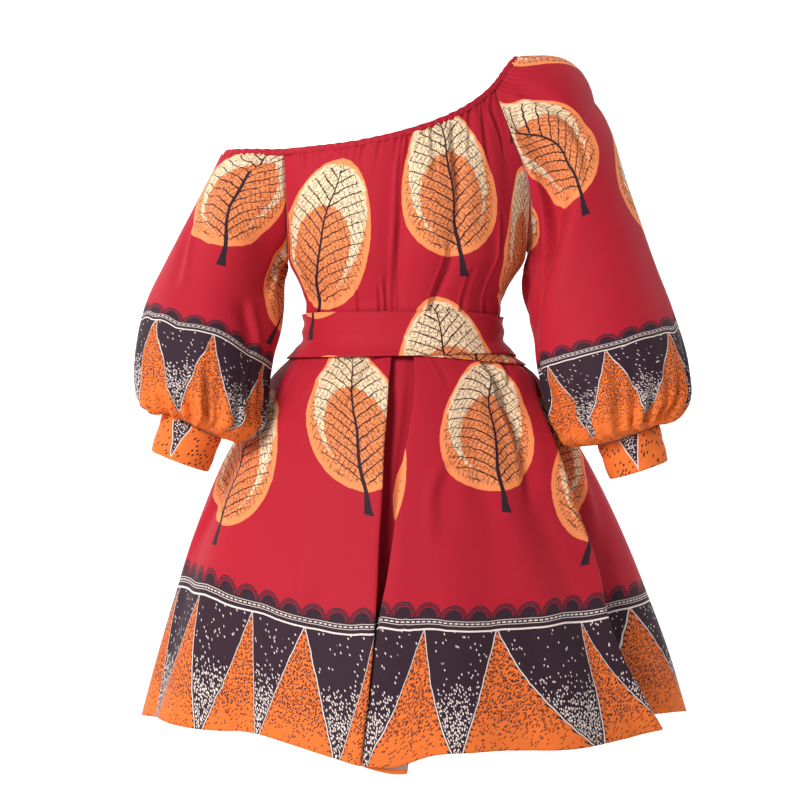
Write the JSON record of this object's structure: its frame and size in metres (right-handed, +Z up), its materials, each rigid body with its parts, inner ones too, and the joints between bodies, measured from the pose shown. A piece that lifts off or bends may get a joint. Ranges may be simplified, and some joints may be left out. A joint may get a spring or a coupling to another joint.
{
  "type": "ankara wax print dress",
  "caption": "Knee-length dress worn off one shoulder, with an elastic neckline, balloon sleeves gathered into cuffs, a wrapped sash and a flared skirt with a centre pleat.",
  "frame": {"origin": "under the top of the covered shoulder, where the wearer's shoulder carries the dress", "axes": "+Z up, -Y towards the dress's front, +X towards the wearer's left"},
  "size_m": [0.7217, 0.5377, 0.8954],
  "materials": {
    "print_cloth": "printed cotton with a soft sheen, red ground with orange and cream leaf medallions and a dark border",
    "cuff_cloth": "the orange edge of the same printed cotton"
  },
  "bodies": {
    "root": {"belt": "print_cloth", "belt_tail": "print_cloth", "bodice_back": "print_cloth", "bodice_front": "print_cloth", "cuff_bare": "cuff_cloth", "cuff_covered": "cuff_cloth", "neck_casing": "print_cloth", "skirt_back": "print_cloth", "skirt_front": "print_cloth", "sleeve_bare": "print_cloth", "sleeve_covered": "print_cloth"}
  },
  "joints": []
}
